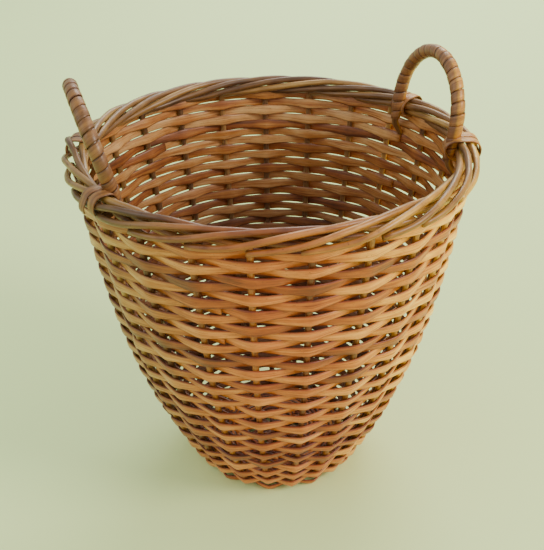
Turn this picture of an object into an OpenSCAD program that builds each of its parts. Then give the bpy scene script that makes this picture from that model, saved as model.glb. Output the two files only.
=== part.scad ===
// Round willow laundry basket: flaring randed wall, rolled border and two cane-wrapped bow handles.
// Origin at the centre of the ground face, +Z up. Azimuth 0 is the +X side, where one handle stands.

/* [Wall] */
// Height of the woven wall above the ground
wall_h = 341; // [270:1:420]
// Radius of the wall's middle at the ground
foot_r = 81; // [65:0.5:98]
// Radius of the wall's middle at the mouth
mouth_r = 182; // [150:0.5:220]
// Share of the flare that rises in a straight line, the rest bellies out
straight_share = 0.47; // [0.3:0.01:0.8]
// Number of bands of weave stacked up the wall
band_count = 6; // [4:1:7]
// Thickness of the split strips woven in front of and behind the stakes
strip_t = 2; // [1.2:0.1:3]

/* [Stakes] */
// Diameter of a stake in the wall
stake_d = 6.4; // [4.8:0.1:7.8]
// Direction of the first stake
first_stake_angle = -95.9; // [-180:0.1:180]
// Weave left between neighbouring butts where they are pushed into the base
butt_web = 2; // [1:0.1:4]
// Clearance between a rod and the channel that it lies in
rod_gap = 0.25; // [0.1:0.05:0.5]

/* [Base] */
// Height of the base weave's underside above the ground
base_lift = 3; // [2:0.5:6]
// Thickness of the base weave
base_t = 10; // [9:0.5:14]
// Width of the upsett, from the edge of the base weave to the wall's middle at the ground
upsett_w = 9; // [7:0.5:12]
// Diameter of the base sticks
stick_d = 5.6; // [4.6:0.1:6.8]
// Thickness of wood left above and below the slit of a split stick
slit_wood = 1.2; // [0.8:0.1:1.6]
// Gap between neighbouring sticks where they cross
stick_gap = 0.6; // [0.3:0.1:1]
// Distance that the sticks' ends stop short of the base weave's edge
stick_inset = 10; // [8:1:20]
// Distance from the middle at which the crossed sticks start to open out
cross_r = 16; // [14:0.5:18]
// Inner radius of the base weave, where the sticks have opened into a star
star_r = 26; // [24:0.5:30]
// Height above the ground at which the upsett ends and the weave starts
upsett_h = 18; // [16:0.5:24]

/* [Border] */
// Diameter of a stake's tip where it lies in the border
tip_d = 5.2; // [3.6:0.1:5.6]
// Gap between neighbouring tips in the border
tip_gap = 1; // [0.6:0.1:2]
// Number of stake spaces that a tip runs round the border
tip_spans = 5; // [3:1:5]
// Turn of a tip around the roll, from under it, over the inside and the top, to the outside
roll_turn = 280; // [220:5:280]
// Gap between the top of the weave and the underside of the roll
roll_lift = 2; // [1:0.5:5]

/* [Handles] */
// Angle between the two feet of a handle
handle_span = 40.5; // [34:0.5:46]
// Stake beside which the right handle's front leg stands
right_foot_stake = 7; // [5:1:9]
// Stake beside which the left handle's front leg stands
left_foot_stake = 21; // [19:1:23]
// Diameter of the handle bows inside their wrapping
bow_d = 10.4; // [8:0.1:13]
// Diameter of the thinned legs that go down inside the wall
leg_d = 7; // [5:0.1:8]
// Depth of the legs below the middle of the border
leg_depth = 36; // [25:1:60]
// Straight wrapped stretch of the right handle, from the border up to the bow
right_neck = 2; // [1:1:40]
// Straight wrapped stretch of the left handle, from the border up to the bow
left_neck = 10; // [1:1:40]
// Lean of the right handle away from the basket, in degrees
right_lean = 9; // [0:1:20]
// Lean of the left handle away from the basket, in degrees
left_lean = 14; // [0:1:20]
// Thickness of the cane wrapped round the handles
cane_t = 1.6; // [1:0.1:2.5]
// Clearance between the handles, their wrapping and the border
handle_gap = 0.4; // [0.2:0.1:1]
// Width of each turn of cane that ties a leg to the border
tie_w = 5; // [3:0.5:7]
// Gap between the ties and the wrapping above them
seat_lift = 2; // [1:0.5:5]

/* [Hidden] */
stake_count = 23;
end_count = (stake_count + 1) / 2;
stick_count = end_count / 2;
lone_share = 0.3;
through_count = stick_count / 2;
stake_pitch = 360 / stake_count;
wall_t = stake_d + 2 * strip_t;
channel_d = stake_d + 2 * rod_gap;
base_mid = base_lift + base_t / 2;
base_r = foot_r - upsett_w;
stick_reach = base_r - stick_inset;
split_d = stick_d + 2 * (slit_wood + rod_gap);
butt_offset = (stick_d + stake_d) / 2 + 4 * rod_gap;
butt_r = (2 * butt_offset + channel_d + butt_web) / (2 * sin(stake_pitch));
bend_gap = channel_d / 2 + rod_gap;
band_h = (wall_h - upsett_h) / band_count;
channel_run = 2;
tip_step = roll_turn / tip_spans;
roll_r = (tip_d + tip_gap) / (2 * sin(tip_step / 2));
bundle_r = roll_r + tip_d / 2;
border_z = wall_h + roll_lift + bundle_r;
leg_r = mouth_r - bundle_r - handle_gap - leg_d / 2;
half_span = handle_span / 2;
bow_r = leg_r * sin(half_span);
seat_h = bundle_r + cane_t + handle_gap + seat_lift;
wrap_d = bow_d + 2 * cane_t;
rod_sides = 8;
turn_steps = 4;
steps_per_span = 3;
$fn = 48;

function stake_name(k) = str("stake_", k < 10 ? "0" : "", k);
STAKE_NODES = [for (k = [1 : stake_count]) stake_name(k)];
BAND_NODES = [for (b = [1 : band_count]) str("weave_band_", b)];

// Points on the basket's own surfaces

function polar(r, a, z) = [r * cos(a), r * sin(a), z];
function flare(t) = straight_share * t + (1 - straight_share) * (1 - pow(1 - t, 3));
function wall_r(z) = foot_r + (mouth_r - foot_r) * flare(min(z, wall_h) / wall_h);
function band_z(b) = upsett_h + band_h * b;
function wall_point(a, z) = polar(wall_r(z), a, z);
function stake_angle(k) = first_stake_angle + stake_pitch * (k - 1);
// Point of the rolled border, turn degrees round the roll from its underside
function roll_point(a, turn) = polar(mouth_r - roll_r * sin(turn), a, border_z - roll_r * cos(turn));
function curve(a, b, c, t) = a * (1 - t) * (1 - t) + b * 2 * t * (1 - t) + c * t * t;

// A rod swept along points, with its own radius at each point

function unit(v) = v / norm(v);
function heading(p, i) = i == 0
    ? unit(p[1] - p[0])
    : i == len(p) - 1 ? unit(p[i] - p[i - 1]) : unit(unit(p[i] - p[i - 1]) + unit(p[i + 1] - p[i]));
function square_to(v, t) = unit(v - (v * t) * t);
function sides_of(h, start) = [
    for (i = 0, u = square_to(start, h[0]); i < len(h); u = i + 1 < len(h) ? square_to(u, h[i + 1]) : u, i = i + 1) u
];

module rod(p, r, start) {
    n = rod_sides;
    h = [for (i = [0 : len(p) - 1]) heading(p, i)];
    u = sides_of(h, start);
    skin = [
        for (i = [0 : len(p) - 1], j = [0 : n - 1])
            let (a = 360 * (j + 0.5) / n, v = cross(h[i], u[i])) p[i] + r[i] * (cos(a) * u[i] + sin(a) * v)
    ];
    walls = [
        for (i = [0 : len(p) - 2], j = [0 : n - 1])
            [i * n + j, (i + 1) * n + j, (i + 1) * n + (j + 1) % n, i * n + (j + 1) % n]
    ];
    butt = [for (j = [0 : n - 1]) j];
    tip = [for (j = [n - 1 : -1 : 0]) (len(p) - 1) * n + j];
    polyhedron(points = skin, faces = concat(walls, [butt, tip]), convexity = 6);
}

// Straight channel from a to b that clears a rod of diameter d, run on a little past both ends
module channel(a, b, d) {
    along = unit(b - a);
    translate(a - along * channel_run)
        rotate([0, acos(along[2]), atan2(along[1], along[0])])
            cylinder(h = norm(b - a) + 2 * channel_run, d = d / cos(180 / rod_sides), $fn = rod_sides);
}

// Stakes: butt in the base, bent up at the upsett, tip rolled down into the border

function stick_end(k) = floor((k - 1) / 2);
function stake_side(k) = (k - 1) % 2 == 0 ? -1 : 1;
// A stick's end lies midway between its two stakes, and the last end beside its only one
function end_angle(e) = stake_angle(2 * e + 1) + stake_pitch * (e < end_count - 1 ? 0.5 : lone_share);
function butt_point(k) = polar(butt_r, end_angle(stick_end(k)), base_mid)
    + polar(butt_offset * stake_side(k), end_angle(stick_end(k)) + 90, 0);
function knee_at(a) = polar(base_r, a, base_mid);
function knee_point(k) = knee_at(stake_angle(k));
function insert_points(k) = [butt_point(k), knee_point(k)];
function upsett_points(a) = [
    for (i = [1 : turn_steps])
        curve(knee_at(a), wall_point(a, base_mid), wall_point(a, upsett_h), i / turn_steps)
];
function wall_points(a) = [for (b = [1 : band_count]) wall_point(a, band_z(b))];
function tip_point(a, s) = roll_point(a - stake_pitch * s, tip_step * s);
function bend_points(a) = [
    for (i = [1 : turn_steps])
        curve(wall_point(a, wall_h), roll_point(a, 0), tip_point(a, 1 / steps_per_span), i / turn_steps)
];
function tip_points(a) = [
    for (i = [2 : tip_spans * steps_per_span]) tip_point(a, i / steps_per_span)
];
function stake_points(k) = let (a = stake_angle(k)) concat(
    insert_points(k), upsett_points(a), wall_points(a), bend_points(a), tip_points(a)
);
function stake_radii() = concat(
    [for (i = [1 : 2 + turn_steps + band_count]) stake_d / 2],
    [for (i = [1 : turn_steps]) (stake_d + (tip_d - stake_d) * i / turn_steps) / 2],
    [for (i = [2 : tip_spans * steps_per_span]) tip_d / 2]
);

module stake(k) {
    color([0.62, 0.36, 0.16])
        rod(stake_points(k), stake_radii(), [0, 0, 1]);
}

// Base: three sticks threaded through three split ones, opened into a star and woven round

function cross_angle() = (end_angle(1) + end_angle(1 + stick_count)) / 2 - 90;
function trio_angle(e) = cross_angle() + (e < through_count ? 0 : 90);
function trio_pitch(e) = stick_gap + (e < through_count ? stick_d : split_d);
function trio_offset(e) = polar((e % through_count - 1) * trio_pitch(e), trio_angle(e) + 90, 0);
function crossing(e, side) = polar(side * cross_r, trio_angle(e), base_mid) + trio_offset(e);
// Number of the end that stick e comes out at on this side, counted round the star
function end_of(e, side) = side > 0
    ? e
    : stick_count + through_count - 1 - e + (e < through_count ? 0 : 2 * through_count);
function end_point(e, side) = polar(stick_reach, end_angle(end_of(e, side)), base_mid);
// Point where a stick enters the base weave
function entry(e, side) = polar(star_r, end_angle(end_of(e, side)), base_mid);
function stick_half(e, side) = [end_point(e, side), entry(e, side), crossing(e, side)];
function stick_points(e) = let (far = stick_half(e, -1)) concat(stick_half(e, 1), [far[2], far[1], far[0]]);

module stick(e, middle_d) {
    color([0.55, 0.33, 0.17])
        rod(stick_points(e), [stick_d, stick_d, middle_d, middle_d, stick_d, stick_d] / 2, [0, 0, 1]);
}

module through_stick(i) {
    stick(i - 1, stick_d);
}

module split_stick(i) {
    slit_l = (through_count - 1) * trio_pitch(0) + stick_d + 2 * rod_gap;
    difference() {
        stick(through_count + i - 1, split_d);
        translate([0, 0, base_mid])
            rotate([0, 0, cross_angle() + 90])
                cube([slit_l, 4 * cross_r, stick_d + 2 * rod_gap], center = true);
    }
}

module base_weave() {
    color([0.66, 0.42, 0.20])
        difference() {
            translate([0, 0, base_lift])
                rotate_extrude($fn = 96)
                    translate([star_r, 0])
                        square([base_r - star_r, base_t]);
            for (e = [0 : stick_count - 1], side = [-1, 1])
                channel(entry(e, side), end_point(e, side), stick_d + 2 * rod_gap);
            for (k = [1 : stake_count])
                channel(butt_point(k), knee_point(k), channel_d);
        }
}

// Section line of the stakes' bend, moved clear of them: side 1 is below and outside, -1 above and inside
knee = [base_r, base_mid];
corner = [wall_r(base_mid), base_mid];
rise = [wall_r(upsett_h), upsett_h];
wall_slope = unit(rise - corner);
function bend_line(side) = concat(
    [
        for (i = [0 : turn_steps - 1])
            let (t = i / turn_steps, along = unit((corner - knee) * (1 - t) + (rise - corner) * t))
                curve(knee, corner, rise, t) + side * bend_gap * [along[1], -along[0]]
    ],
    [rise + [side * bend_gap / wall_slope[1], 0]]
);

module outer_upsett() {
    under = bend_line(1);
    color([0.60, 0.38, 0.18])
        rotate_extrude($fn = 96)
            polygon(concat(
                [[base_r, 0], [wall_r(0) + wall_t / 2, 0], [wall_r(upsett_h) + wall_t / 2, upsett_h]],
                [for (i = [turn_steps : -1 : 0]) under[i]]
            ));
}

module inner_upsett() {
    color([0.58, 0.34, 0.17])
        rotate_extrude($fn = 96)
            polygon(concat(
                bend_line(-1),
                [[wall_r(upsett_h) - wall_t / 2, upsett_h], [base_r, base_lift + base_t]]
            ));
}

// Wall: bands of randing woven in front of and behind the stakes

module weave_band(b) {
    low = band_z(b - 1);
    high = band_z(b);
    color([0.72, 0.43, 0.18])
        difference() {
            rotate_extrude($fn = 96)
                polygon([
                    [wall_r(low) - wall_t / 2, low],
                    [wall_r(low) + wall_t / 2, low],
                    [wall_r(high) + wall_t / 2, high],
                    [wall_r(high) - wall_t / 2, high]
                ]);
            for (k = [1 : stake_count])
                channel(wall_point(stake_angle(k), low), wall_point(stake_angle(k), high), channel_d);
        }
}

// Handles: thinned legs inside the wall, a bow above the border, cane round the bow and ties at the feet

function right_angle() = stake_angle(right_foot_stake) + half_span;
function left_angle() = stake_angle(left_foot_stake) - half_span;

module on_border(angle, lean) {
    rotate([0, 0, angle])
        translate([leg_r * cos(half_span), 0, border_z])
            rotate([0, lean, 0])
                children();
}

module bow(neck) {
    for (side = [-1, 1])
        translate([0, side * bow_r, 0]) {
            translate([0, 0, -leg_depth])
                cylinder(h = leg_depth + seat_h, d = leg_d);
            translate([0, 0, seat_h])
                cylinder(h = neck, d = bow_d);
        }
    translate([0, 0, seat_h + neck])
        rotate([90, 0, 90])
            rotate_extrude(angle = 180)
                translate([bow_r, 0])
                    circle(d = bow_d);
}

module wrap(neck) {
    for (side = [-1, 1])
        translate([0, side * bow_r, seat_h])
            difference() {
                cylinder(h = neck, d = wrap_d);
                translate([0, 0, -1])
                    cylinder(h = neck + 2, d = bow_d);
            }
    translate([0, 0, seat_h + neck])
        rotate([90, 0, 90])
            rotate_extrude(angle = 180)
                translate([bow_r, 0])
                    difference() {
                        circle(d = wrap_d);
                        circle(d = bow_d);
                    }
}

// Section of one turn of tie: cane round the roll, open below for the stakes, with an arm to the strap
module tie_section(strap_r) {
    inside = bundle_r + handle_gap;
    difference() {
        union() {
            translate([mouth_r, border_z])
                circle(r = inside + cane_t);
            translate([strap_r, border_z - tie_w / 2])
                square([mouth_r - strap_r, tie_w]);
        }
        translate([mouth_r, border_z])
            circle(r = inside);
        translate([mouth_r - tie_w, border_z - 2 * inside])
            square([2 * tie_w, 2 * inside]);
    }
}

module tie(angle) {
    strap_r = leg_r - leg_d / 2 - cane_t - 2 * handle_gap;
    clear_angle = asin((leg_d / 2 + 2 * handle_gap) / leg_r);
    turn_angle = asin(tie_w / leg_r);
    difference() {
        rotate([0, 0, angle - clear_angle - turn_angle])
            rotate_extrude(angle = 2 * (clear_angle + turn_angle))
                tie_section(strap_r);
        rotate([0, 0, angle - clear_angle])
            rotate_extrude(angle = 2 * clear_angle)
                translate([strap_r + cane_t, border_z - 2 * bundle_r])
                    square([4 * bundle_r, 4 * bundle_r]);
    }
}

module ties(angle) {
    color([0.78, 0.46, 0.20]) {
        tie(angle - half_span);
        tie(angle + half_span);
    }
}

module right_handle_bow() {
    color([0.55, 0.33, 0.17])
        on_border(right_angle(), right_lean)
            bow(right_neck);
}

module left_handle_bow() {
    color([0.55, 0.33, 0.17])
        on_border(left_angle(), left_lean)
            bow(left_neck);
}

module right_handle_wrap() {
    color([0.80, 0.52, 0.24])
        on_border(right_angle(), right_lean)
            wrap(right_neck);
}

module left_handle_wrap() {
    color([0.74, 0.46, 0.22])
        on_border(left_angle(), left_lean)
            wrap(left_neck);
}

for (i = [1 : through_count]) {
    through_stick(i);
    split_stick(i);
}
base_weave();
outer_upsett();
inner_upsett();
for (k = [1 : stake_count]) {
    stake(k);
}
for (b = [1 : band_count]) {
    weave_band(b);
}
right_handle_bow();
right_handle_wrap();
ties(right_angle());  // right_handle_ties
left_handle_bow();
left_handle_wrap();
ties(left_angle());  // left_handle_ties
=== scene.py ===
import math
import random

import bmesh
import bpy
from mathutils import Matrix, Vector, noise


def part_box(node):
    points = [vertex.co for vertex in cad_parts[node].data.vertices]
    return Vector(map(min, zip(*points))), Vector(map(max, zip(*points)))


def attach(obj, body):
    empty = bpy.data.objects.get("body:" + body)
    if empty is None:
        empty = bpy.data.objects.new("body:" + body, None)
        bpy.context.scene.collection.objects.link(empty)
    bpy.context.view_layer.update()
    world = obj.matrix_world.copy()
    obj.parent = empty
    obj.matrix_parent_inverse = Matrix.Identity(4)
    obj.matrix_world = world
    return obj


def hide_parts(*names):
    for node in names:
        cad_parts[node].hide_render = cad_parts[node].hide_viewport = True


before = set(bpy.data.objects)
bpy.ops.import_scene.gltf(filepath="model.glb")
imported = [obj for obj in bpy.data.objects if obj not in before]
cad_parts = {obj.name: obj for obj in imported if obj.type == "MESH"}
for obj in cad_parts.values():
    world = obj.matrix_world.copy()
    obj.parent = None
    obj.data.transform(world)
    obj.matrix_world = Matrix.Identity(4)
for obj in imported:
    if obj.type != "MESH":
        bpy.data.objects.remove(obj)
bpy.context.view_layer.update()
random.seed(23)
print("frame loaded:", len(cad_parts), "nodes")

# Places read from the frame; lengths in metres, angles in radians

wall = {
    "stakes": 23,
    "bands": 6,
    "firstStake": math.radians(-95.9),
    "footRadius": 0.081,     # of the wall's middle, at the ground
    "straightShare": 0.47,   # share of the flare that rises straight, the rest bellies out
    "thickness": 0.0104,
}
stakeStep = math.tau / wall["stakes"]
bandBoxes = [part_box(f"weave_band_{number + 1}") for number in range(wall["bands"])]
wallTop = bandBoxes[-1][1].z
upsettTop = bandBoxes[0][0].z
mouthRadius = (bandBoxes[-1][1].x - bandBoxes[-1][0].x) / 2 - wall["thickness"] / 2


def wallRadius(height):
    share = min(max(height / wallTop, 0), 1)
    belly = 1 - (1 - share) ** 3
    flare = wall["straightShare"] * share + (1 - wall["straightShare"]) * belly
    return wall["footRadius"] + (mouthRadius - wall["footRadius"]) * flare


def wallLean(height):
    return math.atan((wallRadius(height + 0.002) - wallRadius(height - 0.002)) / 0.004)


def stakeAngle(number):
    return wall["firstStake"] + stakeStep * (number - 1)


def polar(radius, angle, height):
    return Vector((radius * math.cos(angle), radius * math.sin(angle), height))


def ease(share):
    share = min(max(share, 0), 1)
    return share * share * (3 - 2 * share)


def wander(scale, *place):  # smooth seeded noise from -scale to scale
    return scale * noise.noise(Vector(place))


# Bars: every strip, rod and cane starts as a straight bar along X, one ring to the unit,
# and is then laid on its path

drift = {
    "slow": (0.24, 14),   # change of tone along a strip and how often, per metre
    "quick": (0.20, 60),
    "starts": 20,         # metres of grain to start in at random
    "shifts": 2,
}


def makeBar(rings, wide, thick, sides, square):
    bar = bmesh.new()
    bmesh.ops.create_circle(bar, radius=1, segments=sides)
    for vert in bar.verts:
        across, through = vert.co.x, vert.co.y
        vert.co.x = 0
        vert.co.y = math.copysign(abs(through) ** square, through) * thick / 2
        vert.co.z = math.copysign(abs(across) ** square, across) * wide / 2
    bmesh.ops.spin(bar, geom=bar.verts[:] + bar.edges[:], cent=(0, 0, 0), axis=(1, 0, 0),
                   dvec=(1, 0, 0), angle=0, steps=rings, use_merge=False, use_duplicate=False)
    bmesh.ops.holes_fill(bar, edges=[edge for edge in bar.edges if edge.is_boundary], sides=0)
    return bar


def layBar(piece, bar, ringLength, wide, tone, place):
    grain = bar.loops.layers.uv.new("grain")
    toneLayer = bar.verts.layers.float.new("tone")
    paintedCreaseShadeLayer = bar.verts.layers.float.new("edge")
    start = random.uniform(0, drift["starts"])
    shift = random.uniform(0, drift["shifts"])
    for face in bar.faces:
        for loop in face.loops:
            at = loop.vert.co
            loop[grain].uv = (start + at.x * ringLength, shift + at.z + at.y)
    for vert in bar.verts:
        along = start + vert.co.x * ringLength
        shade = tone
        for layer, (amount, often) in enumerate((drift["slow"], drift["quick"])):
            shade += wander(amount, often * along, 3 * shift, 5 * layer)
        vert[toneLayer] = shade
        # distance from the middle of the bar, which steers the painted crease shade towards its edges
        vert[paintedCreaseShadeLayer] = abs(vert.co.z) / (wide / 2)
        vert.co = place(vert.co.x, vert.co.y, vert.co.z)
    mesh = bpy.data.meshes.new("bar")
    bar.to_mesh(mesh)
    bar.free()
    piece.from_mesh(mesh)
    bpy.data.meshes.remove(mesh)


def framesAlong(points, start):
    headings = []
    for number in range(len(points)):
        before = points[max(number - 1, 0)]
        after = points[min(number + 1, len(points) - 1)]
        headings.append((after - before).normalized())
    across = start
    frames = []
    for heading in headings:
        across = (across - across.dot(heading) * heading).normalized()
        frames.append((across, heading.cross(across)))
    return frames


def layRod(piece, points, radii, sides, tone, start=Vector((0, 0, 1))):
    frames = framesAlong(points, start)
    length = sum((after - before).length for before, after in zip(points, points[1:]))

    def place(x, y, z):
        across, through = frames[round(x)]
        return points[round(x)] + radii[round(x)] / radii[0] * (z * across + y * through)

    bar = makeBar(len(points) - 1, 2 * radii[0], 2 * radii[0], sides, 1)
    layBar(piece, bar, length / (len(points) - 1), 1, tone, place)


def newPiece():
    piece = bmesh.new()
    piece.loops.layers.uv.new("grain")
    piece.verts.layers.float.new("tone")
    piece.verts.layers.float.new("edge")
    return piece


def finishPiece(piece, name, material, slotName, *nodes):
    bmesh.ops.recalc_face_normals(piece, faces=piece.faces[:])
    for face in piece.faces:
        face.smooth = True
    mesh = bpy.data.meshes.new(name)
    piece.to_mesh(mesh)
    piece.free()
    mesh.materials.append(material)
    made = bpy.data.objects.new(name, mesh)
    bpy.context.scene.collection.objects.link(made)
    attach(made, "root")
    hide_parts(*nodes)
    print(name, len(mesh.polygons), "faces")


# Willow finishes

willow = {
    "weave": {
        "tones": ((0.0, (0.13, 0.034, 0.009)), (0.32, (0.37, 0.102, 0.017)),
                  (0.60, (0.60, 0.230, 0.043)), (1.0, (0.92, 0.52, 0.17))),
        "fibres": 900, "roughness": (0.34, 0.60), "bump": 0.45,
    },
    "stakes": {
        "tones": ((0.0, (0.11, 0.044, 0.014)), (0.4, (0.24, 0.102, 0.025)),
                  (0.7, (0.39, 0.185, 0.040)), (1.0, (0.62, 0.36, 0.090))),
        "fibres": 700, "roughness": (0.32, 0.56), "bump": 0.35,
    },
    "cane": {
        "tones": ((0.0, (0.11, 0.042, 0.016)), (0.4, (0.28, 0.105, 0.028)),
                  (0.7, (0.46, 0.190, 0.048)), (1.0, (0.66, 0.34, 0.100))),
        "fibres": 1200, "roughness": (0.36, 0.62), "bump": 0.45,
    },
    "sticks": {
        "tones": ((0.0, (0.13, 0.055, 0.020)), (0.5, (0.28, 0.13, 0.050)),
                  (1.0, (0.42, 0.23, 0.10))),
        "fibres": 600, "roughness": (0.50, 0.75), "bump": 0.40,
    },
}
varnish = {"ior": 1.5, "coat": 0.22, "coatRoughness": 0.28, "dry": (0.65, 0.35), "bumpDepth": 0.0004}
shading = {"tone": 0.62, "streaks": 1.0, "blotches": 0.75, "middle": 0.70, "fibreLength": 22}
patterns = {  # detail of the noise and how close it lies along a strip and across it
    "streaks": (3, (9, 260, 1)),
    "blotches": (3, (28, 60, 1)),
    "specks": (2, (330, 800, 1)),
}
stickPatterns = {  # the same in the room, for solids without a grain of their own
    "fibres": (5, (400, 400, 60)),
    "streaks": (3, (160, 160, 20)),
    "blotches": (3, (40, 40, 40)),
    "specks": (2, (500, 500, 500)),
    "tone": (1, (12, 12, 12)),
}
marks = {  # what darkens a strip: where in its pattern, how far and to what
    "fibres": (0.50, 0.32, 0.75, (0.42, 0.28, 0.24)),
    "specks": (0.63, 0.72, 0.70, (0.30, 0.19, 0.16)),
    # edges: painted crease shade, darker towards a strip's edges, where it goes into the creases between
    # strips
    "edges": (0.66, 1.00, 0.75, (0.34, 0.20, 0.16)),
}
sides = {  # where each starts and is full: by facing outwards, then in metres along X and Z
    "outside": (-0.35, 0.15),
    "inside": (0.15, -0.35),
    # painted warm light: outward faces on the side of +X are lighter and golden where the key light falls
    "paintedWarmLight": (0.02, 0.17),
    # painted cool light: outward faces on the side of -X turn olive, as under light from the green
    # surroundings
    "paintedCoolLight": (-0.02, -0.15),
    # painted shade: inward faces low down in the basket are darker
    "low": (0.36, 0.10),
}
# own tints of the outside and the inside, with painted light on the two sides and painted shade low inside
tintsAndPaintedLight = {
    "outside": (1.00, 0.60, 0.50),
    # painted warm light, lighter and golden on the side of +X
    "paintedWarmLight": (1.90, 3.20, 1.55),
    # painted cool light, olive on the side of -X
    "paintedCoolLight": (0.74, 1.28, 1.40),
    "inside": (0.90, 0.94, 1.15),
    # painted shade, darker and brown low on the inside
    "paintedLowShade": (0.40, 0.36, 0.62),
}


def makeWillow(name, finish, ownGrain=True):
    material = bpy.data.materials.new(name)
    material.use_nodes = True
    nodes = material.node_tree.nodes
    links = material.node_tree.links
    shader = nodes["Principled BSDF"]
    shader.inputs["IOR"].default_value = varnish["ior"]
    shader.inputs["Coat Weight"].default_value = varnish["coat"]
    shader.inputs["Coat Roughness"].default_value = varnish["coatRoughness"]

    def node(kind, **settings):
        made = nodes.new("ShaderNode" + kind)
        for key, value in settings.items():
            setattr(made, key, value)
        return made

    def math2(operation, first, second, clamp=False):
        made = node("Math", operation=operation, use_clamp=clamp)
        for socket, value in zip(made.inputs, (first, second)):
            if isinstance(value, (int, float)):
                socket.default_value = value
            else:
                links.new(value, socket)
        return made.outputs[0]

    def remap(value, low, high, to=(0, 1)):
        made = node("MapRange", interpolation_type="SMOOTHSTEP")
        links.new(value, made.inputs["Value"])
        made.inputs["From Min"].default_value = low
        made.inputs["From Max"].default_value = high
        made.inputs["To Min"].default_value = to[0]
        made.inputs["To Max"].default_value = to[1]
        return made.outputs["Result"]

    def mixColour(blend, share, first, second):
        made = node("Mix", data_type="RGBA", blend_type=blend)
        sockets = [made.inputs[0], made.inputs[6], made.inputs[7]]
        for socket, value in zip(sockets, (share, first, second)):
            if isinstance(value, (int, float)):
                socket.default_value = value
            elif isinstance(value, tuple):
                socket.default_value = (*value, 1)
            else:
                links.new(value, socket)
        return made.outputs[2]

    def noiseOf(vector, detail, stretch):
        mapping = node("Mapping")
        links.new(vector, mapping.inputs["Vector"])
        mapping.inputs["Scale"].default_value = stretch
        made = node("TexNoise")
        links.new(mapping.outputs[0], made.inputs["Vector"])
        made.inputs["Scale"].default_value = 1
        made.inputs["Detail"].default_value = detail
        made.inputs["Roughness"].default_value = 0.6
        return made.outputs["Fac"]

    def darken(colour, pattern, kind):
        low, high, amount, tint = marks[kind]
        return mixColour("MULTIPLY", math2("MULTIPLY", remap(pattern, low, high), amount), colour, tint)

    place = node("TexCoord").outputs["Object"]
    if ownGrain:
        uv = node("UVMap", uv_map="grain").outputs[0]
        fibres = noiseOf(uv, 5, (finish["fibres"] / shading["fibreLength"], finish["fibres"], 1))
        streaks = noiseOf(uv, *patterns["streaks"])
        blotches = noiseOf(uv, *patterns["blotches"])
        specks = noiseOf(uv, *patterns["specks"])
        tone = node("Attribute", attribute_name="tone").outputs["Fac"]
        edge = node("Attribute", attribute_name="edge").outputs["Fac"]
    else:
        fibres = noiseOf(place, *stickPatterns["fibres"])
        streaks = noiseOf(place, *stickPatterns["streaks"])
        blotches = noiseOf(place, *stickPatterns["blotches"])
        specks = noiseOf(place, *stickPatterns["specks"])
        tone = noiseOf(place, *stickPatterns["tone"])
        edge = None

    # Tone of this strip, with lighter and darker fibres in it
    lighter = math2("ADD", math2("MULTIPLY", streaks, shading["streaks"]),
                    math2("MULTIPLY", blotches, shading["blotches"]))
    shade = math2("ADD", math2("MULTIPLY", tone, shading["tone"]),
                  math2("SUBTRACT", lighter, shading["middle"]), True)
    ramp = node("ValToRGB")
    links.new(shade, ramp.inputs[0])
    stops = ramp.color_ramp.elements
    while len(stops) < len(finish["tones"]):
        stops.new(0.5)
    for stop, (at, colour) in zip(stops, finish["tones"]):
        stop.position = at
        stop.color = (*colour, 1)
    colour = darken(ramp.outputs[0], fibres, "fibres")
    colour = darken(colour, specks, "specks")
    # Painted crease shade: darker towards the edges of each strip, where they go into the creases
    if edge is not None:
        colour = darken(colour, edge, "edges")

    # Red at the front, golden painted warm light on the side of +X, olive painted cool light on the side
    # of -X, dull on the inside, and painted shade low down there, darker and brown
    xyz = node("SeparateXYZ")
    links.new(place, xyz.inputs[0])
    outward = node("VectorMath", operation="MULTIPLY")
    links.new(place, outward.inputs[0])
    outward.inputs[1].default_value = (1, 1, 0)
    towards = node("VectorMath", operation="NORMALIZE")
    links.new(outward.outputs[0], towards.inputs[0])
    facing = node("VectorMath", operation="DOT_PRODUCT")
    links.new(towards.outputs[0], facing.inputs[0])
    links.new(node("NewGeometry").outputs["Normal"], facing.inputs[1])
    inside = remap(facing.outputs["Value"], *sides["inside"])
    outside = remap(facing.outputs["Value"], *sides["outside"])
    # mask of the painted warm light on the side of +X
    paintedWarmLight = math2("MULTIPLY", outside, remap(xyz.outputs["X"], *sides["paintedWarmLight"]))
    # mask of the painted cool light on the side of -X
    paintedCoolLight = math2("MULTIPLY", outside, remap(xyz.outputs["X"], *sides["paintedCoolLight"]))
    # mask of the painted shade low on the inside
    paintedLowShade = math2("MULTIPLY", inside, remap(xyz.outputs["Z"], *sides["low"]))
    for share, side in ((outside, "outside"), (paintedWarmLight, "paintedWarmLight"), (paintedCoolLight, "paintedCoolLight"),
                        (inside, "inside"), (paintedLowShade, "paintedLowShade")):
        colour = mixColour("MULTIPLY", share, colour, tintsAndPaintedLight[side])
    links.new(colour, shader.inputs["Base Color"])

    # Dry fibres are rougher than the varnish between them
    links.new(remap(fibres, *varnish["dry"], finish["roughness"]), shader.inputs["Roughness"])
    bump = node("Bump")
    bump.inputs["Strength"].default_value = finish["bump"]
    bump.inputs["Distance"].default_value = varnish["bumpDepth"]
    links.new(math2("ADD", fibres, streaks), bump.inputs["Height"])
    links.new(bump.outputs[0], shader.inputs["Normal"])
    return material


materials = {name: makeWillow("willow_" + name, finish, name != "sticks")
             for name, finish in willow.items()}
print("finishes made")

# Wall: one long spiral of split strips, in front of a stake and behind the next

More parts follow.
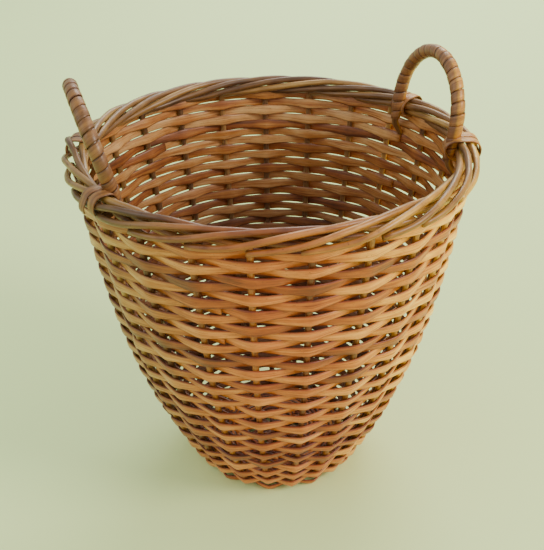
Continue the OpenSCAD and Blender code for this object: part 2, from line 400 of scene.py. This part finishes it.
weave = {
    "rounds": 37,
    "firstHeight": 0.0046,     # of the first round's middle
    "lowPitch": 0.0097,        # rise of a round at the foot
    "pitchLoss": 0.0000197,    # the rounds are beaten closer towards the mouth
    "width": 0.0117,           # where a strip lies over a stake
    "neck": 0.0086,            # where it passes between its neighbours
    "thickness": 0.0025,
    "swing": 0.0043,           # of a strip to either side of the wall's middle
    "crease": 0.990,           # 1 bends a strip sharply at each stake
    "topEdge": wallTop + 0.0040,
    "ringsPerSpace": 10,
    "firstSpace": -17,         # where the first strip starts, below the first stake
    "lastGap": 4,              # spaces by which the last strip stops short of a full round
    "spaces": (26, 44),        # stake spaces that a strip runs
    "shortest": 10,
    "lap": 0.42,               # spaces that its ends run past the stake
    "lean": math.radians(6),
    "twist": 0.16,             # further turning of a strip along its length
    "sag": 0.0018,             # rise and fall of the rounds
    "stray": 0.0009,           # and of a strip in its round
    "widths": (0.94, 1.05),    # shares of the width and the thickness that a strip may have
    "thicknesses": (0.85, 1.1),
    "tuck": 1.1,               # thicknesses by which its start lies behind the last one's end
    "sides": 12,
    "square": 0.55,
    "topTone": 0.62,           # the last strips are golden
}


def rowHeight(turns):
    return weave["firstHeight"] + turns * (weave["lowPitch"] - weave["pitchLoss"] * turns)


def rowEdges(turns):  # lower and upper edge of the strip, between its neighbours
    half = weave["neck"] / 2
    low = rowHeight(turns) - half
    high = rowHeight(turns) + half
    if turns < 0:
        return 0, max(rowHeight(turns + 1) - half, 0.001)
    if turns > weave["rounds"]:
        share = ease((turns - weave["rounds"]) * 5)
        below = rowHeight(turns - 1) + half
        return low + (below - low) * share, high + (weave["topEdge"] - high) * share
    return low, high


def swingSide(along):  # 1 outside a stake, -1 inside the next, nearly straight between
    return math.asin(weave["crease"] * math.cos(math.pi * along)) / math.asin(weave["crease"])


def stripPlace(strip, along, through, across):
    turns = along / wall["stakes"]
    angle = wall["firstStake"] + stakeStep * along
    low, high = rowEdges(turns)
    side = swingSide(along)
    spread = weave["width"] / weave["neck"] - 1
    fit = (high - low) * (1 + spread * side * side) * strip["width"]
    across *= fit / weave["width"]
    height = (low + high) / 2
    settle = ease(turns / 2) * ease((weave["rounds"] - turns) / 2)
    height += settle * wander(weave["sag"], 2.2 * math.cos(angle), 2.2 * math.sin(angle), 0.24 * turns)
    height += settle * wander(weave["stray"], 0.9 * along, strip["seed"], 0)
    radius = wallRadius(height)
    lean = wallLean(height)
    slope = (swingSide(along + 0.02) - swingSide(along - 0.02)) / 0.04
    bend = math.atan(weave["swing"] * slope / (stakeStep * radius))
    twist = strip["lean"] + wander(weave["twist"], 0.5 * along, strip["seed"], 7)
    through, across = (through * math.cos(twist) - across * math.sin(twist),
                       through * math.sin(twist) + across * math.cos(twist))
    reach = weave["swing"] * side + through * math.cos(bend)
    reach -= strip["tuck"] * (1 - ease((along - strip["start"] - weave["lap"]) / 0.6))
    out = radius + reach * math.cos(lean) + across * math.sin(lean)
    turned = angle - through * math.sin(bend) / out
    return polar(out, turned, max(height - reach * math.sin(lean) + across * math.cos(lean), 0))


def makeStrip(piece, start, end):
    strip = {
        "start": start,
        "seed": random.uniform(0, 50),
        "width": random.uniform(*weave["widths"]),
        "lean": random.uniform(-1, 1) * weave["lean"],
        "tuck": weave["thickness"] * weave["tuck"],
    }
    first = start - weave["lap"]
    spaces = end - start + 2 * weave["lap"]
    rings = round(spaces * weave["ringsPerSpace"])
    step = spaces / rings
    thick = weave["thickness"] * random.uniform(*weave["thicknesses"])
    bar = makeBar(rings, weave["width"], thick, weave["sides"], weave["square"])
    radius = wallRadius(rowHeight(start / wall["stakes"]))
    tone = random.random()
    if end > (weave["rounds"] - 1) * wall["stakes"]:
        tone = max(tone, weave["topTone"])
    layBar(piece, bar, step * stakeStep * radius, weave["width"], tone,
           lambda x, y, z: stripPlace(strip, first + x * step, y, z))


def makeWall():
    levels = [newPiece() for band in range(wall["bands"] + 1)]
    last = (weave["rounds"] + 1) * wall["stakes"] - weave["lastGap"]
    start = weave["firstSpace"]
    while start < last - weave["shortest"]:
        end = start + 2 * (random.randint(*weave["spaces"]) // 2)
        if end > last - weave["shortest"]:
            end = last
        height = rowHeight((start + end) / 2 / wall["stakes"])
        level = sum(height > box[0].z for box in bandBoxes)
        makeStrip(levels[level], start, end)
        start = end
    finishPiece(levels[0], "foot_rows", materials["weave"], "upsett", "outer_upsett", "inner_upsett")
    for number, piece in enumerate(levels[1:], 1):
        finishPiece(piece, f"wall_rows_{number}", materials["weave"], "wall_weave", f"weave_band_{number}")


makeWall()
print("wall woven")

# Stakes: butt beside a stick's end in the base, up through the weave, tip rolled down into the border

base = {
    "middle": 0.008,          # height of the base's middle
    "radius": 0.072,
    "starRadius": 0.026,
    "ends": 12,
    "loneShare": 0.3,
    "buttRadius": 0.0424,
    "buttOffset": 0.0070,
}
stake = {
    "radius": 0.0031,
    "tipRadius": 0.0033,
    "tipSpans": 5.15,             # stake spaces that a tip runs round the border
    "tipTurn": math.radians(64),  # turn round the roll in each of them
    "rollRadius": 0.0066,
    "swell": 0.0026,              # the roll is fuller on its outside
    "swellOver": 1.4,             # turn in which it comes to that
    "drop": 0.0030,               # and hangs lower there, over the first strip
    "dropFrom": 1.2 * math.pi,
    "dropOver": 1.2,
    "sides": 10,
    "sway": 0.0022,               # of a stake to the side in the wall
    "rollSpread": 0.0009,         # difference from one tip's roll to the next
    "tipStray": 0.0012,           # of a tip from its roll
    "spanSpread": (-0.3, 0.2),
    "uneven": 0.08,               # share of its radius by which a stake is thicker or thinner
    "tipUneven": 0.06,
    "taper": 0.16,
    "buttRings": 4,
    "bendRings": 6,
    "wallRings": 30,
    "tipRings": 34,
    "tipStart": 0.35,             # stake spaces after the stake's own, where its bend ends
}
loose = {  # tips that have sprung out on the left
    "angle": math.radians(181),
    "spread": 0.15,
    "reach": {22: 0.0075, 23: 0.0035},
}
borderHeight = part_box("stake_01")[1].z - 0.0092


def endAngle(end):
    return stakeAngle(2 * end + 1) + stakeStep * (0.5 if end < base["ends"] - 1 else base["loneShare"])


def curveThrough(first, middle, last, share):
    return first * (1 - share) ** 2 + middle * 2 * share * (1 - share) + last * share ** 2


def rollPoint(angle, turn, rollRadius):
    out = mouthRadius - rollRadius * math.sin(turn)
    out += stake["swell"] * ease((turn - math.pi) / stake["swellOver"])
    drop = stake["drop"] * ease((turn - stake["dropFrom"]) / stake["dropOver"])
    return polar(out, angle, borderHeight - rollRadius * math.cos(turn) - drop)


def makeStake(piece, number):
    angle = stakeAngle(number)
    end = (number - 1) // 2
    side = -1 if number % 2 else 1
    away = endAngle(end)
    seed = random.uniform(0, 50)
    butt = polar(base["buttRadius"], away, base["middle"])
    butt += polar(base["buttOffset"] * side, away + math.pi / 2, 0)
    knee = polar(base["radius"], angle, base["middle"])
    points = [butt + (knee - butt) * step / stake["buttRings"] for step in range(stake["buttRings"])]
    radii = [stake["radius"]] * stake["buttRings"]
    corner = polar(wallRadius(base["middle"]), angle, base["middle"])
    rise = polar(wallRadius(upsettTop), angle, upsettTop)
    for step in range(stake["bendRings"]):
        points.append(curveThrough(knee, corner, rise, step / stake["bendRings"]))
        radii.append(stake["radius"])
    for step in range(stake["wallRings"]):
        height = upsettTop + (wallTop - upsettTop) * step / stake["wallRings"]
        sway = wander(stake["sway"], 5 * height, seed, 2)
        sway = sway * ease(height * 20) * ease((wallTop - height) * 20)
        points.append(polar(wallRadius(height), angle + sway / wallRadius(height), height))
        radii.append(stake["radius"] * (1 + wander(stake["uneven"], 14 * height, seed, 1)))
    top = polar(mouthRadius, angle, wallTop)
    rolled = stake["rollRadius"] + wander(stake["rollSpread"], seed, 0, 0)
    spans = stake["tipSpans"] + random.uniform(*stake["spanSpread"])

    def tipPoint(span):
        turn = stake["tipTurn"] * span
        roll = rolled + wander(stake["tipStray"], 1.3 * span, seed, 5)
        here = angle - stakeStep * span
        aside = (here - loose["angle"]) / loose["spread"]
        if number in loose["reach"]:
            roll += loose["reach"][number] * math.exp(-aside * aside)
        return rollPoint(here, turn, roll)

    first = tipPoint(stake["tipStart"])
    for step in range(stake["bendRings"]):
        points.append(curveThrough(top, rollPoint(angle, 0, rolled), first, step / stake["bendRings"]))
        radii.append(stake["radius"] + (stake["tipRadius"] - stake["radius"]) * step / stake["bendRings"])
    for step in range(stake["tipRings"] + 1):
        share = step / stake["tipRings"]
        points.append(tipPoint(stake["tipStart"] + (spans - stake["tipStart"]) * share))
        uneven = wander(stake["tipUneven"], 6 * share, seed, 3)
        radii.append(stake["tipRadius"] * (1.04 - stake["taper"] * ease(share) + uneven))
    layRod(piece, points, radii, stake["sides"], random.random())


stakes = newPiece()
for number in range(1, wall["stakes"] + 1):
    makeStake(stakes, number)
finishPiece(stakes, "stakes", materials["stakes"], "stakes",
            *[f"stake_{number:02d}" for number in range(1, wall["stakes"] + 1)])
print("stakes and border made")

# Base: two strands twisted round twelve stick ends

baseWeave = {
    "rounds": 9.1,
    "pitch": 0.0053,
    "width": 0.0050,
    "thickness": 0.0020,
    "lift": 0.0038,         # over and under the sticks' ends
    "endLift": 0.0004,      # more, where the ends have opened out
    "stray": 0.0006,
    "bluntness": 0.6,       # under 1, a strand lies flatter over and under an end
    "ringsPerSpace": 8,
    "ringLength": 0.026,
    "sides": 8,
    "square": 0.6,
}


def baseAngle(along):
    turns, within = divmod(along, base["ends"])
    end = math.floor(within)
    here = endAngle(end)
    following = endAngle((end + 1) % base["ends"]) + (math.tau if end + 1 == base["ends"] else 0)
    return here + (following - here) * (within - end) + math.tau * turns


def makeStrand(piece, phase):
    spaces = baseWeave["rounds"] * base["ends"]
    rings = round(spaces * baseWeave["ringsPerSpace"])
    step = spaces / rings
    seed = random.uniform(0, 50)
    inner = base["starRadius"] + baseWeave["width"] / 2

    def place(x, y, z):
        along = x * step
        radius = inner + baseWeave["pitch"] * along / base["ends"] + z
        radius += wander(baseWeave["stray"], 0.7 * along, seed, 0)
        wave = math.cos(math.pi * along + phase)
        wave = math.copysign(abs(wave) ** baseWeave["bluntness"], wave)
        lift = baseWeave["lift"] + baseWeave["endLift"] * ease((radius - 0.03) / 0.01)
        return polar(radius, baseAngle(along), base["middle"] + lift * wave + y)

    bar = makeBar(rings, baseWeave["width"], baseWeave["thickness"],
                  baseWeave["sides"], baseWeave["square"])
    layBar(piece, bar, step * baseWeave["ringLength"], baseWeave["width"], random.random(), place)


strands = newPiece()
makeStrand(strands, 0)
makeStrand(strands, math.pi)
finishPiece(strands, "base_rows", materials["weave"], "base_weave", "base_weave")
for name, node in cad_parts.items():
    if "stick" in name:
        node.data.materials.clear()
        node.data.materials.append(materials["sticks"])
print("base woven")

# Handles: a bow with thinned legs, cane wound round it and lashings at its feet

handles = {
    "right": {
        "foot": 7,                   # stake beside its near leg
        "halfSpan": math.radians(20.25),
        "lean": math.radians(9),     # inwards
        "rise": 0.0150,              # of the bow's straight part over the border's middle
        "way": 1,                    # round the border to its far leg
        "legReach": (0.0092, 0.0030),  # of the straps, round the near and the far leg
    },
    "left": {
        "foot": 21,
        "halfSpan": math.radians(20.25),
        "lean": math.radians(14),
        "rise": 0.0230,
        "way": -1,
        "legReach": (0.0010, 0.0050),
    },
}
cane = {
    "legInset": 0.0131,       # of a leg's middle from the mouth radius
    "legDepth": 0.036,
    "legRadius": 0.0035,
    "bowRadius": 0.0052,
    "foot": -0.012,           # height of the wrapping's foot from the border's middle
    "pitch": 0.0105,
    "thickness": 0.0015,
    "ringsPerTurn": 20,
    "thinning": 0.022,        # length of the bow's end that is thinned
    "legSink": 0.0015,        # of a leg's end from the wall's middle, inwards
    "legTaper": 0.3,
    "bowTone": 0.3,
    "bowRings": 48,
    "legRings": 10,
    "bowSides": 12,
    "cover": 0.98,            # share of the pitch that a turn of the cane covers
    "uneven": 0.25,
    "tilt": 0.0003,           # of a turn, over the edge of the one before
    "stray": 0.0006,
    "overrun": 0.0005,        # past the bow's ends
    "ringLength": 0.0021,
    "tone": 0.45,
    "sides": 10,
    "square": 0.5,
}


def handleFrame(handle):
    middle = stakeAngle(handle["foot"]) + handle["way"] * handle["halfSpan"]
    legRadius = mouthRadius - cane["legInset"]
    chord = Matrix.Translation((legRadius * math.cos(handle["halfSpan"]), 0, borderHeight))
    lean = Matrix.Rotation(handle["lean"], 4, "Y")
    return Matrix.Rotation(middle, 4, "Z") @ chord @ lean, legRadius * math.sin(handle["halfSpan"])


def bowPoint(handle, along):  # along runs from one foot of the wrapping over the bow to the other
    toWorld, radius = handleFrame(handle)
    leg = handle["rise"] - cane["foot"]
    arc = math.pi * radius
    if along < leg:
        here = Vector((0, -radius, cane["foot"] + along))
    elif along < leg + arc:
        turn = (along - leg) / radius
        here = Vector((0, -radius * math.cos(turn), handle["rise"] + radius * math.sin(turn)))
    else:
        here = Vector((0, radius, handle["rise"] - (along - leg - arc)))
    return toWorld @ here


def bowThickness(along, length):  # thinned where it goes in beside the border
    full = ease(min(along, length - along) / cane["thinning"])
    return cane["legRadius"] + (cane["bowRadius"] - cane["legRadius"]) * full


def makeHandle(name, handle):
    toWorld, radius = handleFrame(handle)
    length = math.pi * radius + 2 * (handle["rise"] - cane["foot"])
    acrossBow = toWorld.to_3x3() @ Vector((1, 0, 0))

    # The bow and its two legs, which are pushed down into the weave
    legs = []
    for side in (-1, 1):
        leg = []
        for step in range(cane["legRings"]):
            share = 1 - step / cane["legRings"]
            down = cane["foot"] - (cane["legDepth"] + cane["foot"]) * share
            point = toWorld @ Vector((0, side * radius, down))
            flat = Vector((point.x, point.y, 0))
            outwards = wallRadius(point.z) - cane["legSink"] - flat.length
            leg.append(point + flat.normalized() * outwards * ease(share))
        legs.append(leg)
    places = [length * step / cane["bowRings"] for step in range(cane["bowRings"] + 1)]
    points = legs[0] + [bowPoint(handle, along) for along in places] + legs[1][::-1]
    thin = [cane["legRadius"] * (0.7 + cane["legTaper"] * ease(step / 8))
            for step in range(cane["legRings"])]
    radii = thin + [bowThickness(along, length) for along in places] + thin[::-1]
    bow = newPiece()
    layRod(bow, points, radii, cane["bowSides"], cane["bowTone"], acrossBow)
    finishPiece(bow, f"{name}_bow", materials["stakes"], "handle_bows", f"{name}_handle_bow")

    # The cane wound round it, each turn a little over the one before
    wrap = newPiece()
    turns = length / cane["pitch"]
    rings = round(turns * cane["ringsPerTurn"])
    seed = random.uniform(0, 50)

    def place(x, y, z):
        along = length * x / rings + z * (1 + wander(cane["uneven"], 0.03 * x, seed, 6))
        along = min(max(along, -cane["overrun"]), length + cane["overrun"])
        here = bowPoint(handle, along)
        heading = (bowPoint(handle, along + 0.001) - bowPoint(handle, along - 0.001)).normalized()
        beside = heading.cross(acrossBow)
        turn = math.tau * x / cane["ringsPerTurn"]
        out = bowThickness(along, length) + cane["thickness"] / 2 + y + cane["tilt"] * z / cane["pitch"]
        out += wander(cane["stray"], 0.03 * x, seed, 0)
        return here + out * (math.cos(turn) * acrossBow + math.sin(turn) * beside)

    bar = makeBar(rings, cane["pitch"] * cane["cover"], cane["thickness"], cane["sides"], cane["square"])
    layBar(wrap, bar, cane["ringLength"], cane["pitch"], cane["tone"], place)
    finishPiece(wrap, f"{name}_wrapping", materials["cane"], "cane_wrap", f"{name}_handle_wrap")

    # Straps: broad cane over the border and behind the leg, side by side at each foot
    ties = newPiece()
    for foot in (0, 1):
        footAngle = stakeAngle(handle["foot"]) + 2 * foot * handle["way"] * handle["halfSpan"]
        for side in (-1, 1):
            curl = strap["curl"] if side * handle["way"] > 0 and foot == 0 else 0
            makeStrap(ties, footAngle, side, handle["legReach"][foot], curl)
    finishPiece(ties, f"{name}_ties", materials["cane"], "cane_ties", f"{name}_handle_ties")


strap = {
    "width": 0.0120,
    "thickness": 0.0014,
    "beside": 0.0062,      # of a strap from the leg's middle, where it lies over the border
    "crossing": 0.0030,    # and where it passes behind the leg
    "roll": 0.0104,        # of the strap round the border
    "curl": 0.0035,        # of a loose end on the border's outside
    "curlFrom": 0.84,      # share of the strap's length where it starts
    "curlOver": 0.16,
    "firstTurn": -10,      # degrees round the border, from under it
    "turn": 305,
    "narrowing": 0.15,
    "rings": 44,
    "ringLength": 0.0016,
    "tone": 0.70,
    "sides": 10,
    "square": 0.5,
}


def makeStrap(piece, footAngle, side, legReach, curl):
    def place(x, y, z):
        share = x / strap["rings"]
        # From under the roll, over its inside and round the leg, over its top, to its outside
        turn = math.radians(strap["firstTurn"] + strap["turn"] * share)
        inside = max(math.sin(turn), 0)
        outer = ease(-math.sin(turn))
        roll = strap["roll"] + legReach * inside ** 3 + stake["swell"] * outer
        roll += curl * ease((share - strap["curlFrom"]) / strap["curlOver"])
        beside = strap["beside"] + (strap["crossing"] - strap["beside"]) * inside ** 2
        narrow = 1 - strap["narrowing"] * outer
        out = mouthRadius - (roll + y) * math.sin(turn)
        angle = footAngle + (side * beside + z * narrow) / out
        return polar(out, angle, borderHeight - (roll + y) * math.cos(turn))

    bar = makeBar(strap["rings"], strap["width"], strap["thickness"], strap["sides"], strap["square"])
    layBar(piece, bar, strap["ringLength"], strap["width"], strap["tone"], place)


for name, handle in handles.items():
    makeHandle(name, handle)
print("handles made")

# Floor, light and camera

studio = {
    "floor": (0.80, 0.96, 0.42),
    "floorSize": 30,
    "floorRoughness": 0.7,
    "sky": (0.93, 1.0, 0.90),
    "skyStrength": 0.80,
    "lamps": {
        "key": {"place": (2.3, -1.0, 1.9), "aim": (0, 0, 0.2), "size": 1.2, "power": 62,
                "colour": (1.0, 0.95, 0.86)},
        "fill": {"place": (-2.0, -0.8, 1.6), "aim": (0, 0, 0.2), "size": 2.0, "power": 12,
                 "colour": (0.88, 0.96, 1.0)},
        "back": {"place": (0.6, 2.4, 2.2), "aim": (0.3, 2.0, 0), "size": 2.0, "power": 66,
                 "colour": (0.93, 1.0, 0.99)},
    },
}


def makeFloor():
    sheet = bmesh.new()
    bmesh.ops.create_grid(sheet, x_segments=8, y_segments=8, size=studio["floorSize"])
    mesh = bpy.data.meshes.new("floor")
    sheet.to_mesh(mesh)
    sheet.free()
    material = bpy.data.materials.new("floor")
    material.use_nodes = True
    shader = material.node_tree.nodes["Principled BSDF"]
    shader.inputs["Base Color"].default_value = (*studio["floor"], 1)
    shader.inputs["Roughness"].default_value = studio["floorRoughness"]
    mesh.materials.append(material)
    floor = bpy.data.objects.new("floor", mesh)
    bpy.context.scene.collection.objects.link(floor)


def makeLight(name, place, aim, size, power, colour):
    lamp = bpy.data.lights.new(name, "AREA")
    lamp.shape = "DISK"
    lamp.size = size
    lamp.energy = power
    lamp.color = colour
    made = bpy.data.objects.new(name, lamp)
    made.location = place
    made.rotation_euler = (Vector(aim) - Vector(place)).to_track_quat("-Z", "Y").to_euler()
    bpy.context.scene.collection.objects.link(made)


makeFloor()
for name, lamp in studio["lamps"].items():
    makeLight(name, **lamp)
world = bpy.data.worlds.new("sky")
world.use_nodes = True
background = world.node_tree.nodes["Background"]
background.inputs["Color"].default_value = (*studio["sky"], 1)
background.inputs["Strength"].default_value = studio["skyStrength"]
bpy.context.scene.world = world

view = {
    "target": Vector((-0.00177, 0, 0.2126)),
    "distance": 0.9395,
    "elevation": math.radians(30.65),
    "roll": -0.0168,
    "lens": 60.1,
}
lens = bpy.data.cameras.new("camera")
lens.lens = view["lens"]
lens.sensor_width = 36
lens.clip_start = 0.05
camera = bpy.data.objects.new("camera", lens)
back = Vector((0, -math.cos(view["elevation"]), math.sin(view["elevation"])))
camera.location = view["target"] + view["distance"] * back
turned = (-back).to_track_quat("-Z", "Y").to_matrix() @ Matrix.Rotation(view["roll"], 3, "Z")
camera.rotation_euler = turned.to_euler()
bpy.context.scene.collection.objects.link(camera)
bpy.context.scene.camera = camera
print("camera set")

bpy.context.view_layer.update()
